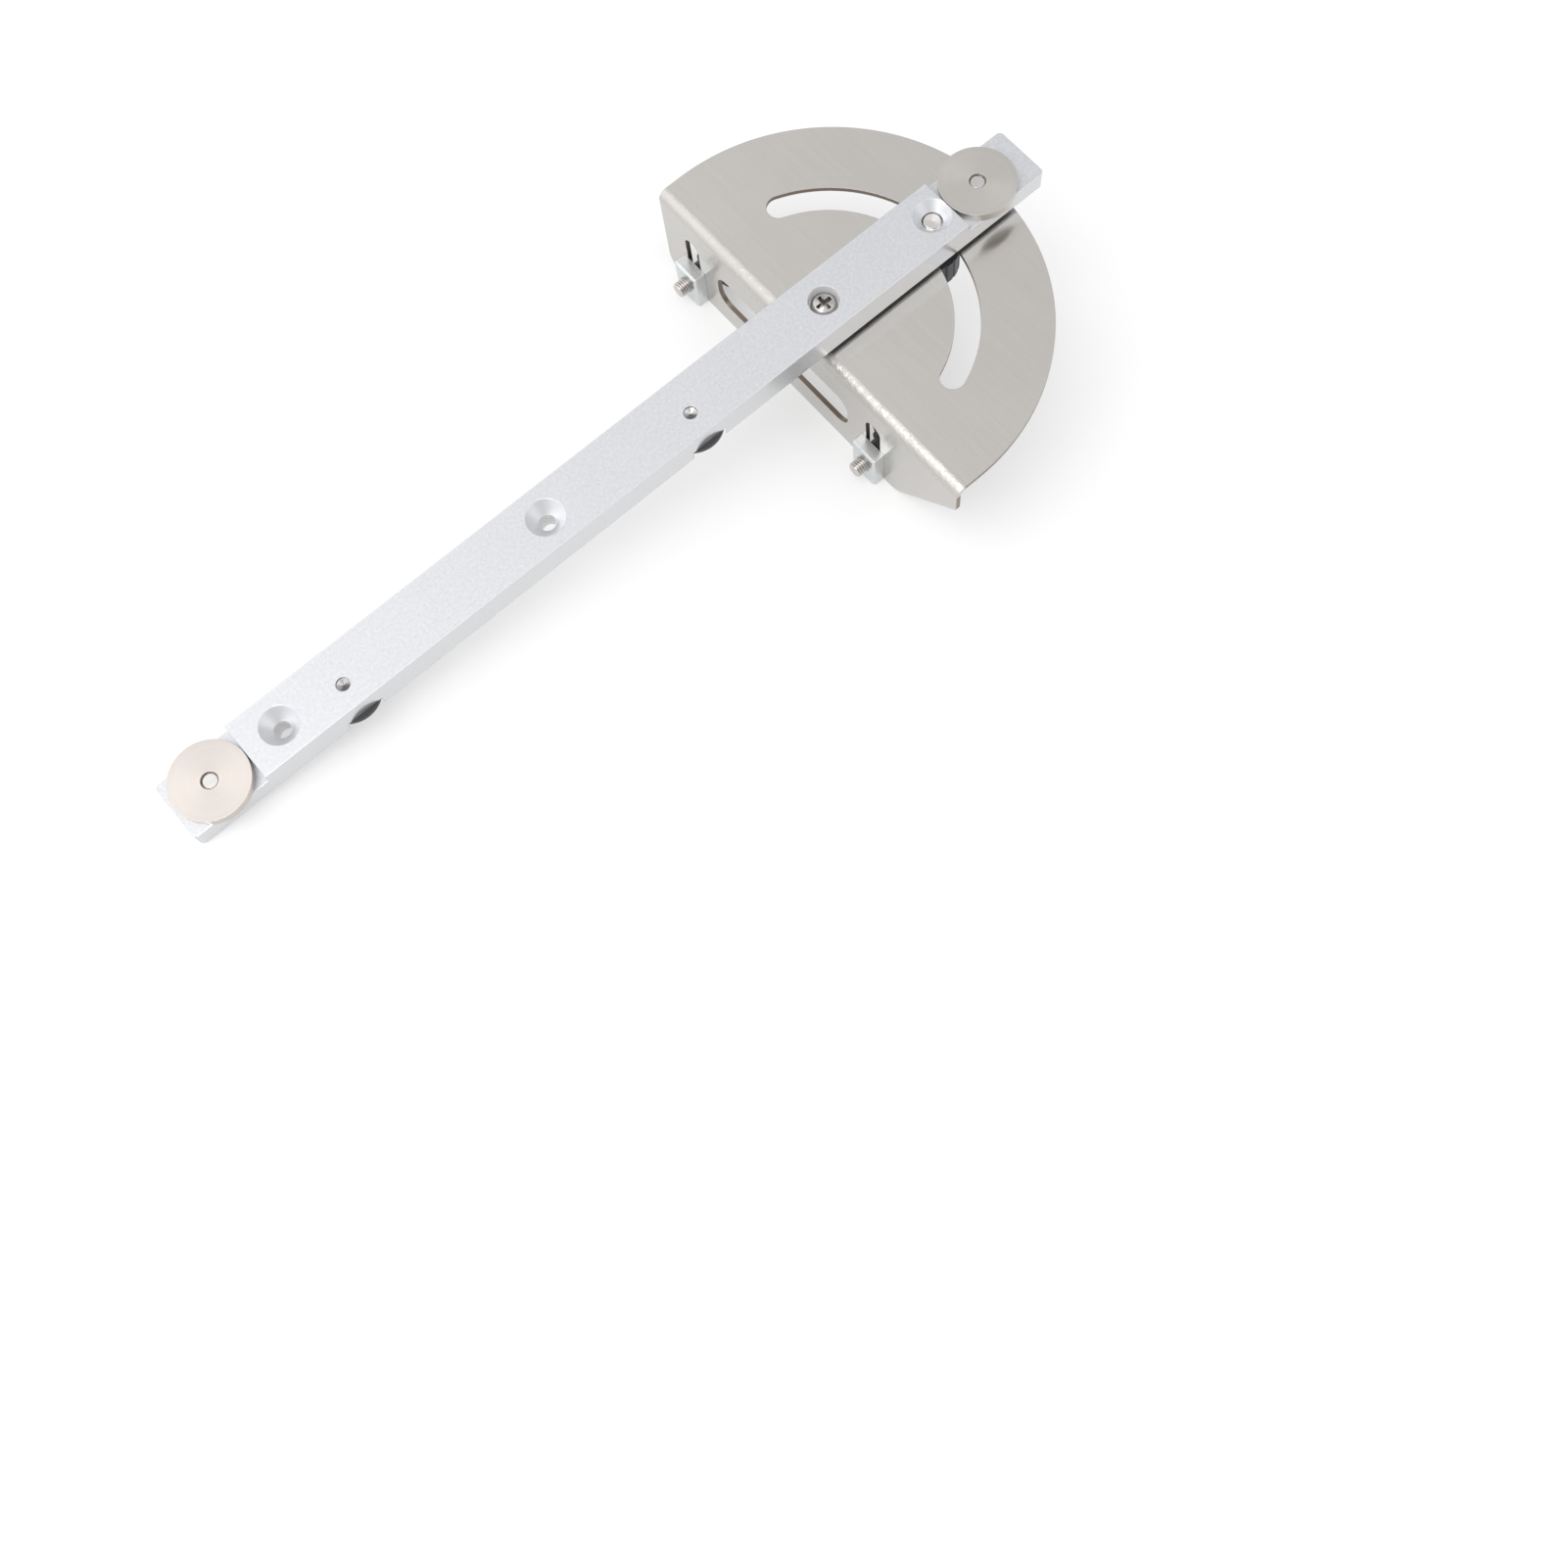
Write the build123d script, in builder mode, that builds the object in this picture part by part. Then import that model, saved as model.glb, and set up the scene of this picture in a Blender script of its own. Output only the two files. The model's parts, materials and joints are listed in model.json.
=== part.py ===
from build123d import *
from math import atan2, cos, degrees, radians, sin
import os

os.makedirs("parts", exist_ok=True)

# A mitre gauge lying as it comes to rest with its sliding bar up: the front end of the bar and
# the free edge of the folded head touch the ground.
# Every piece is drawn square first, with the pivot axis as Z, the sliding face of the bar at
# z = 0 and +X towards the rear end of the bar. The last section tilts them all into that rest.

# Sliding bar
bar_width = 19.0
bar_thickness = 9.5
bar_front_length = 228.5
bar_corner_radius = 1.5
bar_edge_chamfer = 0.5
bar_end_step = 3.0

# Discs that hook into a T-slot, one on each stepped-down end of the bar
disc_radius = 11.55
disc_thickness = 2.75
disc_step_clearance = 0.3
front_disc_inset = 12.6
rear_disc_inset = 17.6
rear_disc_clamp_gap = 17.5

# Flat-head screws that come through the bar into the discs
disc_screw_radius = 2.5
disc_screw_head_radius = 4.6
disc_screw_head_sink = 0.2
disc_screw_tip_sink = 0.5
disc_screw_tip_chamfer = 0.5
disc_screw_socket_width = 3.0
disc_screw_socket_depth = 1.4
flat_head_angle = 90.0

# Countersunk tapped holes for the clamp stud and for stops
thread_bore_radius = 2.5
thread_mouth_radius = 5.75
front_bore_inset = 35.8
middle_bore_x = -101.2

# Expansion discs that take up the play of the bar in its slot
pocket_radius = 9.5
pocket_depth = 3.6
pocket_y = -2.0
front_pocket_inset = 55.8
middle_pocket_x = -50.9
expander_radius = 8.9
expander_thickness = 1.35
expander_screw_radius = 2.0
expander_screw_head_radius = 3.9
expander_screw_head_height = 1.9
expander_screw_tip_sink = 0.7
expander_screw_slot_width = 0.9
expander_screw_slot_depth = 0.8

# Pivot
pivot_radius = 2.0
pivot_head_radius = 4.0
pivot_head_height = 2.4
pivot_head_sink = 1.3
pivot_head_chamfer = 0.9
pivot_counterbore_radius = 4.7
pivot_cross_length = 5.0
pivot_cross_width = 1.4
pivot_cross_depth = 1.7
pivot_cross_taper = 9.0
spacer_radius = 6.0
spacer_thickness = 1.5
pivot_washer_radius = 4.5
pivot_washer_thickness = 0.8
lock_nut_width = 7.0
lock_nut_height = 3.2
lock_nut_collar_radius = 3.0
lock_nut_collar_height = 1.5
lock_nut_chamfer = 0.4
pivot_tip_length = 1.0

# Protractor head, one folded sheet
sheet_thickness = 1.5
head_radius = 66.3
flange_offset = 8.5
flange_height = 36.5
bend_radius = 1.5
arc_slot_width = 7.6
arc_slot_half_angle = 68.6
flange_corner_radius = 6.0
taper_foot_inset = 25.9
taper_top_drop = 10.7
taper_foot_radius = 8.0
taper_top_radius = 1.5
window_left_inset = 25.3
window_right_inset = 47.3
window_height = 13.5
window_foot_web = 9.2
window_corner_radius = 5.0
fence_slot_width = 6.3
fence_slot_top_drop = 10.5
fence_slot_foot_web = 4.75
left_slot_inset = 13.7
right_slot_inset = 35.9

# Clamp of the head
clamp_x = 41.2
clamp_stud_radius = 3.0
clamp_stud_sink = 2.6
clamp_stud_tip_chamfer = 0.5
clamp_washer_radius = 6.9
clamp_washer_thickness = 1.0
clamp_hub_radius = 6.2
clamp_hub_height = 1.5
clamp_grip_radius = 8.6
clamp_grip_height = 9.5

# Fence clamps
fence_nut_width = 9.8
fence_nut_height = 14.2
fence_nut_thickness = 4.2
fence_nut_chamfer = 0.6
fence_bolt_radius = 2.5
fence_bolt_reach = 3.5
fence_bolt_tip_chamfer = 0.5
fence_neck_radius = 3.8
fence_neck_height = 3.0
fence_hub_radius = 5.3
fence_hub_height = 2.5
fence_grip_radius = 8.6
fence_grip_height = 7.0

# Shared by the moulded knobs
knob_rim_chamfer = 0.8
knob_end_wall = 2.5
flute_count = 18
flute_radius = 0.9

# Clearances, each on the radius
running_clearance = 0.05
seat_clearance = 0.02
screw_clearance = 0.25

# Places along the bar and the flange that follow from the sizes
front_disc_x = front_disc_inset - bar_front_length
rear_disc_x = clamp_x + rear_disc_clamp_gap
bar_rear_length = rear_disc_x + rear_disc_inset
front_bore_x = front_bore_inset - bar_front_length
front_pocket_x = front_pocket_inset - bar_front_length
left_slot_y = head_radius - left_slot_inset
right_slot_y = right_slot_inset - head_radius
window_left_y = head_radius - window_left_inset
window_right_y = window_right_inset - head_radius
taper_foot_y = taper_foot_inset - head_radius

# Levels that follow from the sizes
end_floor = -bar_end_step
far_face = -bar_thickness
pocket_floor = far_face + pocket_depth
plate_face = far_face - spacer_thickness
plate_back = plate_face - sheet_thickness
flange_face = -flange_offset
flange_back = flange_face + sheet_thickness
flange_foot = plate_face - flange_height
fence_slot_top = plate_face - fence_slot_top_drop
fence_slot_foot = flange_foot + fence_slot_foot_web
fence_bolt_z = fence_slot_foot + fence_slot_width / 2
knob_stack = plate_back - clamp_washer_thickness
fence_knob_end = flange_back + fence_neck_height + fence_hub_height + fence_grip_height
disc_face = end_floor + disc_thickness


def fluted_knob(seat, hub_radius, hub_height, grip_radius, grip_height, bore_radius):
    """Moulded knob that grows from the plane `seat` along its normal, with a blind bore for its stud."""
    grip_seat = seat.offset(hub_height)
    with BuildPart() as knob:
        with BuildSketch(grip_seat):
            Circle(grip_radius)
        extrude(amount=grip_height)
        chamfer(knob.edges().sort_by(Axis(seat.origin, seat.z_dir))[-1], length=knob_rim_chamfer)
        with BuildSketch(grip_seat):
            with PolarLocations(grip_radius + flute_radius / 2, flute_count):
                RegularPolygon(flute_radius, side_count=4)
        extrude(amount=grip_height, mode=Mode.SUBTRACT)
        with BuildSketch(seat):
            Circle(hub_radius)
        extrude(amount=hub_height)
        with BuildSketch(seat):
            Circle(bore_radius)
        extrude(amount=hub_height + grip_height - knob_end_wall, mode=Mode.SUBTRACT)
    return knob


def plain_stud(tip, radius, length, tip_chamfer):
    """Round stud that runs from the plane `tip` along its normal, with a chamfered tip."""
    with BuildPart() as stud:
        with BuildSketch(tip):
            Circle(radius)
        extrude(amount=length)
        chamfer(stud.edges().sort_by(Axis(tip.origin, tip.z_dir))[0], length=tip_chamfer)
    return stud


def flat_ring(seat, outer_radius, inner_radius, thickness):
    """Washer or disc that grows from the plane `seat` along its normal."""
    with BuildPart() as ring:
        with BuildSketch(seat):
            Circle(outer_radius)
            Circle(inner_radius, mode=Mode.SUBTRACT)
        extrude(amount=thickness)
    return ring


# Sliding bar
with BuildPart() as miter_bar:
    with BuildSketch(Plane.XY.offset(far_face)):
        with Locations(((bar_rear_length - bar_front_length) / 2, 0)):
            Rectangle(bar_front_length + bar_rear_length, bar_width)
    extrude(amount=bar_thickness)
    fillet(miter_bar.edges().filter_by(Axis.Z), radius=bar_corner_radius)
    far_edges = miter_bar.faces().sort_by(Axis.Z)[0].edges().filter_by(Axis.X)
    chamfer(far_edges, length=bar_edge_chamfer)

    # Stepped-down ends
    front_step_x = front_disc_x + disc_radius + disc_step_clearance
    rear_step_x = rear_disc_x - disc_radius - disc_step_clearance
    with BuildSketch(Plane.XY):
        with Locations((front_step_x, 0)):
            Rectangle(bar_front_length, bar_width, align=(Align.MAX, Align.CENTER))
        with Locations((rear_step_x, 0)):
            Rectangle(bar_rear_length, bar_width, align=(Align.MIN, Align.CENTER))
    extrude(amount=-bar_end_step, mode=Mode.SUBTRACT)

    # Pockets of the expansion discs, which break out through one side
    with BuildSketch(Plane.XY.offset(far_face)):
        with Locations((front_pocket_x, pocket_y), (middle_pocket_x, pocket_y)):
            Circle(pocket_radius)
    extrude(amount=pocket_depth, mode=Mode.SUBTRACT)
    with Locations((front_pocket_x, pocket_y), (middle_pocket_x, pocket_y)):
        Hole(radius=expander_screw_radius + running_clearance)

    # Tapped holes with a countersunk mouth
    with Locations((front_bore_x, 0), (middle_bore_x, 0)):
        CounterSinkHole(
            radius=thread_bore_radius,
            counter_sink_radius=thread_mouth_radius,
            counter_sink_angle=flat_head_angle,
        )
    with Locations((clamp_x, 0)):
        CounterSinkHole(
            radius=clamp_stud_radius + running_clearance,
            counter_sink_radius=thread_mouth_radius,
            counter_sink_angle=flat_head_angle,
        )

    # Screw holes of the end discs, sunk from the far face
    far_seats = [Plane((x, 0, far_face), z_dir=(0, 0, -1)) for x in (front_disc_x, rear_disc_x)]
    with Locations(*far_seats):
        CounterSinkHole(
            radius=disc_screw_radius + screw_clearance,
            counter_sink_radius=disc_screw_head_radius + screw_clearance,
            counter_sink_angle=flat_head_angle,
        )

    # Pivot
    with Locations((0, 0, 0)):
        CounterBoreHole(
            radius=pivot_radius + running_clearance,
            counter_bore_radius=pivot_counterbore_radius,
            counter_bore_depth=pivot_head_sink + pivot_head_height,
        )


def t_disc(disc_x):
    """Disc on the stepped end of the bar, tapped for its screw."""
    with BuildPart() as disc:
        with BuildSketch(Plane((disc_x, 0, end_floor))):
            Circle(disc_radius)
        extrude(amount=disc_thickness)
        with Locations(Plane((disc_x, 0, disc_face))):
            Hole(radius=disc_screw_radius + seat_clearance)
    return disc


def disc_screw(disc_x):
    """Flat-head screw from the far face of the bar into the disc."""
    head_face = far_face + disc_screw_head_sink
    cone_height = disc_screw_head_radius - disc_screw_radius
    with BuildPart() as screw:
        with BuildSketch(Plane.XZ):
            with BuildLine():
                Polyline(
                    (disc_x, head_face),
                    (disc_x + disc_screw_head_radius, head_face),
                    (disc_x + disc_screw_radius, head_face + cone_height),
                    (disc_x + disc_screw_radius, disc_face - disc_screw_tip_sink),
                    (disc_x, disc_face - disc_screw_tip_sink),
                    close=True,
                )
            make_face()
        revolve(axis=Axis((disc_x, 0, 0), (0, 0, 1)))
        chamfer(screw.edges().sort_by(Axis.Z)[-1], length=disc_screw_tip_chamfer)
        with BuildSketch(Plane((disc_x, 0, head_face))):
            RegularPolygon(disc_screw_socket_width / 2, side_count=6, major_radius=False)
        extrude(amount=disc_screw_socket_depth, mode=Mode.SUBTRACT)
    return screw


front_t_disc = t_disc(front_disc_x)
rear_t_disc = t_disc(rear_disc_x)
front_disc_screw = disc_screw(front_disc_x)
rear_disc_screw = disc_screw(rear_disc_x)


def expander_screw(pocket_x):
    """Slotted screw that squeezes the expansion disc against the floor of its pocket."""
    head_seat = Plane((pocket_x, pocket_y, pocket_floor - expander_thickness))
    head_face = head_seat.offset(-expander_screw_head_height)
    with BuildPart() as screw:
        with BuildSketch(head_face):
            Circle(expander_screw_head_radius)
        extrude(amount=expander_screw_head_height)
        with BuildSketch(head_seat):
            Circle(expander_screw_radius)
        extrude(amount=-head_seat.origin.Z - expander_screw_tip_sink)
        with BuildSketch(head_face):
            Rectangle(2 * expander_screw_head_radius, expander_screw_slot_width)
        extrude(amount=expander_screw_slot_depth, mode=Mode.SUBTRACT)
    return screw


def expander(pocket_x):
    """Soft disc that lies against the floor of its pocket and stands out of the side of the bar."""
    seat = Plane((pocket_x, pocket_y, pocket_floor - expander_thickness))
    return flat_ring(seat, expander_radius, expander_screw_radius + seat_clearance, expander_thickness)


front_expansion_disc = expander(front_pocket_x)
middle_expansion_disc = expander(middle_pocket_x)
front_expansion_screw = expander_screw(front_pocket_x)
middle_expansion_screw = expander_screw(middle_pocket_x)

# Protractor head: a half disc folded down along its straight side
with BuildPart() as protractor_head:
    with BuildSketch(Plane.XZ) as fold_section:
        with BuildLine():
            Polyline(
                (head_radius, plate_face),
                (flange_face, plate_face),
                (flange_face, flange_foot),
                (flange_back, flange_foot),
                (flange_back, plate_back),
                (head_radius, plate_back),
                close=True,
            )
        make_face()
        outer_corner = fold_section.vertices().sort_by_distance((flange_face, plate_face))[0]
        fillet(outer_corner, radius=bend_radius + sheet_thickness)
        inner_corner = fold_section.vertices().sort_by_distance((flange_back, plate_back))[0]
        fillet(inner_corner, radius=bend_radius)
    extrude(amount=head_radius, both=True)

    # Plan of the plate
    with BuildSketch(Plane.XY.offset(plate_face)):
        Circle(head_radius)
        with Locations((flange_face, 0)):
            Rectangle(head_radius, 2 * head_radius, align=(Align.MAX, Align.CENTER), mode=Mode.SUBTRACT)
            Rectangle(flange_offset, 2 * head_radius, align=(Align.MIN, Align.CENTER))
    extrude(amount=-flange_height, mode=Mode.INTERSECT)

    # Outline of the flange, with one end tapered
    with BuildSketch(Plane.YZ.offset(flange_face)) as flange_outline:
        with BuildLine():
            Polyline(
                (head_radius, plate_face),
                (head_radius, flange_foot),
                (taper_foot_y, flange_foot),
                (-head_radius, plate_face - taper_top_drop),
                (-head_radius, plate_face),
                close=True,
            )
        make_face()
        square_corner = flange_outline.vertices().sort_by_distance((head_radius, flange_foot))[0]
        fillet(square_corner, radius=flange_corner_radius)
        taper_foot = flange_outline.vertices().sort_by_distance((taper_foot_y, flange_foot))[0]
        fillet(taper_foot, radius=taper_foot_radius)
        taper_top = flange_outline.vertices().sort_by_distance((-head_radius, plate_face - taper_top_drop))[0]
        fillet(taper_top, radius=taper_top_radius)
    extrude(amount=flange_offset + head_radius, mode=Mode.INTERSECT)

    # Window and fence slots in the flange
    with BuildSketch(Plane.YZ.offset(flange_face)):
        window_centre_y = (window_left_y + window_right_y) / 2
        with Locations((window_centre_y, flange_foot + window_foot_web + window_height / 2)):
            RectangleRounded(window_left_y - window_right_y, window_height, window_corner_radius)
        slot_centre_z = (fence_slot_top + fence_slot_foot) / 2
        with Locations((left_slot_y, slot_centre_z), (right_slot_y, slot_centre_z)):
            SlotOverall(fence_slot_top - fence_slot_foot, fence_slot_width, rotation=90)
    extrude(amount=sheet_thickness, mode=Mode.SUBTRACT)

    # Arc slot about the pivot, as far each way as the clamp stud travels
    with BuildSketch(Plane.XY.offset(plate_face)):
        with BuildLine(mode=Mode.PRIVATE) as stud_path:
            CenterArc((0, 0), clamp_x, -arc_slot_half_angle, 2 * arc_slot_half_angle)
        SlotArc(stud_path.edge(), arc_slot_width)
        Circle(pivot_radius + running_clearance)
    extrude(amount=-sheet_thickness, mode=Mode.SUBTRACT)

# Pivot screw, sunk in the bar, with its head up
with BuildPart() as pivot_screw:
    with BuildSketch(Plane.XY.offset(-pivot_head_sink)):
        Circle(pivot_head_radius)
    extrude(amount=-pivot_head_height)
    chamfer(pivot_screw.edges().sort_by(Axis.Z)[-1], length=pivot_head_chamfer)
    pivot_stack = sheet_thickness + pivot_washer_thickness + lock_nut_height + lock_nut_collar_height
    with BuildSketch(Plane.XY.offset(-pivot_head_sink - pivot_head_height)):
        Circle(pivot_radius)
    extrude(amount=plate_face - pivot_stack - pivot_tip_length + pivot_head_sink + pivot_head_height)
    with BuildSketch(Plane.XY.offset(-pivot_head_sink)):
        Rectangle(pivot_cross_length, pivot_cross_width)
        Rectangle(pivot_cross_width, pivot_cross_length)
    extrude(amount=-pivot_cross_depth, taper=pivot_cross_taper, mode=Mode.SUBTRACT)

pivot_spacer_washer = flat_ring(
    Plane.XY.offset(plate_face), spacer_radius, pivot_radius + seat_clearance, spacer_thickness
)
washer_foot = plate_back - pivot_washer_thickness
pivot_washer = flat_ring(
    Plane.XY.offset(washer_foot), pivot_washer_radius, pivot_radius + seat_clearance, pivot_washer_thickness
)

# Lock nut under the plate, with the collar that holds its insert
with BuildPart() as pivot_lock_nut:
    with BuildSketch(Plane.XY.offset(washer_foot)):
        RegularPolygon(lock_nut_width / 2, side_count=6, major_radius=False)
    extrude(amount=-lock_nut_height)
    with BuildSketch(Plane.XY.offset(washer_foot - lock_nut_height)):
        Circle(lock_nut_collar_radius)
    extrude(amount=-lock_nut_collar_height)
    chamfer(pivot_lock_nut.edges().sort_by(Axis.Z)[0], length=lock_nut_chamfer)
    with Locations(Plane.XY.offset(washer_foot)):
        Hole(radius=pivot_radius + seat_clearance)

# Clamp of the head: a knob under the plate whose stud passes the arc slot into the bar
knob_seat = Plane((clamp_x, 0, knob_stack), z_dir=(0, 0, -1))
clamp_knob = fluted_knob(
    knob_seat,
    clamp_hub_radius,
    clamp_hub_height,
    clamp_grip_radius,
    clamp_grip_height,
    clamp_stud_radius + seat_clearance,
)
clamp_stud_tip = Plane((clamp_x, 0, -clamp_stud_sink), z_dir=(0, 0, -1))
clamp_stud_end = knob_stack - clamp_hub_height - clamp_grip_height + knob_end_wall
clamp_stud = plain_stud(
    clamp_stud_tip, clamp_stud_radius, -clamp_stud_sink - clamp_stud_end, clamp_stud_tip_chamfer
)
clamp_washer = flat_ring(
    Plane((clamp_x, 0, knob_stack)),
    clamp_washer_radius,
    clamp_stud_radius + running_clearance,
    clamp_washer_thickness,
)


def fence_nut(slot_y):
    """Oblong nut in front of the flange, which slides into the T-slot of a fence."""
    with BuildPart() as nut:
        with BuildSketch(Plane((flange_face, slot_y, fence_bolt_z), x_dir=(0, -1, 0), z_dir=(-1, 0, 0))):
            Rectangle(fence_nut_width, fence_nut_height)
            Circle(fence_bolt_radius + running_clearance, mode=Mode.SUBTRACT)
        extrude(amount=fence_nut_thickness)
        rim = nut.faces().sort_by(Axis.X)[0].edges().filter_by(GeomType.LINE)
        chamfer(rim, length=fence_nut_chamfer)
    return nut


def fence_bolt(slot_y):
    """Stud of the fence knob, through the slot and the nut."""
    bolt_tip = flange_face - fence_nut_thickness - fence_bolt_reach
    bolt_end = fence_knob_end - knob_end_wall
    tip = Plane((bolt_tip, slot_y, fence_bolt_z), x_dir=(0, 1, 0), z_dir=(1, 0, 0))
    return plain_stud(tip, fence_bolt_radius, bolt_end - bolt_tip, fence_bolt_tip_chamfer)


def fence_knob(slot_y):
    """Knob behind the flange, with a slim neck under its hub."""
    neck_seat = Plane((flange_back, slot_y, fence_bolt_z), x_dir=(0, 1, 0), z_dir=(1, 0, 0))
    upper_knob = fluted_knob(
        neck_seat.offset(fence_neck_height),
        fence_hub_radius,
        fence_hub_height,
        fence_grip_radius,
        fence_grip_height,
        fence_bolt_radius + seat_clearance,
    )
    with BuildPart() as knob:
        add(upper_knob.part)
        with BuildSketch(neck_seat):
            Circle(fence_neck_radius)
            Circle(fence_bolt_radius + seat_clearance, mode=Mode.SUBTRACT)
        extrude(amount=fence_neck_height)
    return knob


left_fence_nut = fence_nut(left_slot_y)
left_fence_bolt = fence_bolt(left_slot_y)
left_fence_knob = fence_knob(left_slot_y)
right_fence_nut = fence_nut(right_slot_y)
right_fence_bolt = fence_bolt(right_slot_y)
right_fence_knob = fence_knob(right_slot_y)

# Rest: the steepest line from the front foot of the bar to a low point of the head or its clamps
nut_front = flange_face - fence_nut_thickness + fence_nut_chamfer
low_points = [
    (flange_face, flange_foot),
    (nut_front, fence_bolt_z - fence_nut_height / 2),
    (fence_knob_end, fence_bolt_z - fence_grip_radius),
    (clamp_x + clamp_grip_radius, knob_stack - clamp_hub_height - clamp_grip_height),
]
rest_tilt = max(degrees(atan2(far_face - z, x + bar_front_length)) for x, z in low_points)

# The origin lies on the ground, midway between the two ends of the bar along the ground
slope_cos = cos(radians(rest_tilt))
slope_sin = sin(radians(rest_tilt))
front_reach = -bar_front_length * slope_cos - end_floor * slope_sin
rear_reach = bar_rear_length * slope_cos - far_face * slope_sin
ground_lift = bar_front_length * slope_sin - far_face * slope_cos
resting = Location((-(front_reach + rear_reach) / 2, 0, ground_lift), (0, -rest_tilt, 0))

pieces = {
    "miter_bar": miter_bar,
    "front_t_disc": front_t_disc,
    "rear_t_disc": rear_t_disc,
    "front_disc_screw": front_disc_screw,
    "rear_disc_screw": rear_disc_screw,
    "front_expansion_disc": front_expansion_disc,
    "middle_expansion_disc": middle_expansion_disc,
    "front_expansion_screw": front_expansion_screw,
    "middle_expansion_screw": middle_expansion_screw,
    "protractor_head": protractor_head,
    "pivot_screw": pivot_screw,
    "pivot_spacer_washer": pivot_spacer_washer,
    "pivot_washer": pivot_washer,
    "pivot_lock_nut": pivot_lock_nut,
    "clamp_knob": clamp_knob,
    "clamp_stud": clamp_stud,
    "clamp_washer": clamp_washer,
    "left_fence_nut": left_fence_nut,
    "left_fence_bolt": left_fence_bolt,
    "left_fence_knob": left_fence_knob,
    "right_fence_nut": right_fence_nut,
    "right_fence_bolt": right_fence_bolt,
    "right_fence_knob": right_fence_knob,
}
for piece_name, piece in pieces.items():
    piece.part.move(resting)
    piece.part.label = piece_name
    export_step(piece.part, f"parts/{piece_name}.step")
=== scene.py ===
import json
import math

import bmesh
import bpy
from mathutils import Matrix, Vector


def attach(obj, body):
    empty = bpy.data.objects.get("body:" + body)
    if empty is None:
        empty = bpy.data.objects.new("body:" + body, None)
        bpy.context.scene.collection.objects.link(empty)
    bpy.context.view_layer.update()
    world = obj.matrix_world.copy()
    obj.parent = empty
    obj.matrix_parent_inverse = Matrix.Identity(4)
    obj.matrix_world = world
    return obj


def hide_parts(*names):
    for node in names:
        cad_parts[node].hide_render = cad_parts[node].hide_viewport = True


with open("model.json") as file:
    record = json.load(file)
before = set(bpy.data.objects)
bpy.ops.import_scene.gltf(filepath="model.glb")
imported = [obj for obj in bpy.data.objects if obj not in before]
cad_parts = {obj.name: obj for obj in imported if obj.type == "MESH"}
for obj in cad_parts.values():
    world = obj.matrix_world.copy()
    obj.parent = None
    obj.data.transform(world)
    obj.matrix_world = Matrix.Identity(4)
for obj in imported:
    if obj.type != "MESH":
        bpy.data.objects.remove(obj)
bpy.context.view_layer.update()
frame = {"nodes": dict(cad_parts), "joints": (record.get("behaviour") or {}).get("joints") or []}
nodes = frame["nodes"]
swing = next(joint for joint in frame["joints"] if joint["name"] == "head_swing")

# The gauge is described square, in millimetres, as its drawings are: Z is the pivot axis, z = 0 the
# sliding face of the bar, +X its rear end. The swing joint tells how that frame lies in the scene.
MM = 0.001

# Sliding bar
SIDES = ("left", "right")
BAR_HALF_WIDTH = 9.5
BAR_EDGE = 0.5
BAR_BACK = -9.5
BAR_REAR = 76.3
FRONT_DISC_X = -215.9
REAR_DISC_X = 58.7
CLAMP_X = 41.2
TAPPED_HOLES_X = (-192.7, -101.2)
EXPANSION_SCREWS_X = (-172.7, -50.9)
EXPANSION_SCREWS_Y = -2.0

# Radii that just hold each cut in the bar, and the depths between which its finish comes in
COUNTERBORE = 4.8
COUNTERSINK = 5.85
SCREW_HOLE = 2.3
TAPPED_BORE = 2.56
CUT_START = -0.02
CUT_FULL = -0.08

# Folded head, whose bend ends at this X on the plate and at this Z on the flange
SHEET = 1.5
BEND_RADIUS = 1.5
HEAD_RADIUS = 66.3
PLATE_FACE = -11.0
PLATE_BACK = PLATE_FACE - SHEET
FLANGE_FACE = -8.5
BEND_END_X = FLANGE_FACE + SHEET + BEND_RADIUS
BEND_END_Z = PLATE_BACK - BEND_RADIUS

# Threads. The tapped holes have the clamp stud's pitch.
STUD_PITCH = 1.0
BOLT_PITCH = 0.8
THREAD_COLUMNS = 40
THREAD_ROWS_A_TURN = 8
THREAD_DEPTH_IN_PITCHES = 0.55
THREAD_FLAT = 0.125
THREAD_TIP_SLOPE = 0.8

# Degree scale and index line. Each tick has the length of the first step of degrees that it falls on.
SCALE_DEGREES = 60
SCALE_OUTER = 65.2
TICK_LENGTHS = {10: 6.0, 5: 4.4, 1: 3.0}
TICK_WIDTH = 0.16
NUMBER_STEP = 10
NUMBER_RADIUS = 56.4
NUMBER_HEIGHT = 3.4
NUMBER_SMOOTHNESS = 4
INDEX_START = HEAD_RADIUS + 0.9
INDEX_END = BAR_REAR - 1.4
INDEX_WIDTH = 0.25
INK_DEPTH = 0.03

# Studio, in metres
FLOOR_SIZE = 6.0
FLOOR_PAINT = (0.79, 0.79, 0.79, 1.0)
FLOOR_GLOW = 0.45
SKY_LEVEL = 0.82
SKY_COLOUR = (1.0, 1.0, 1.0, 1.0)
FRONT_GLOW = Vector((-0.70, 0.45, 0.55)).normalized()
TOP_FILL = Vector((0.33, -0.50, 0.80)).normalized()
KEY_PLACE = Vector((-0.9, -0.1, 1.3))
KEY_TARGET = Vector((-0.02, 0.0, 0.0))
KEY_SIZE = 1.2
KEY_POWER = 12.0

# A glow grows from nothing, at the first cosine to its direction, to its full level at the second
GLOWS = (
    (FRONT_GLOW, 0.45, 0.60, 0.16),
    (FRONT_GLOW, 0.62, 0.84, 0.46),
    (TOP_FILL, 0.82, 0.97, 0.82),
)

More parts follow.
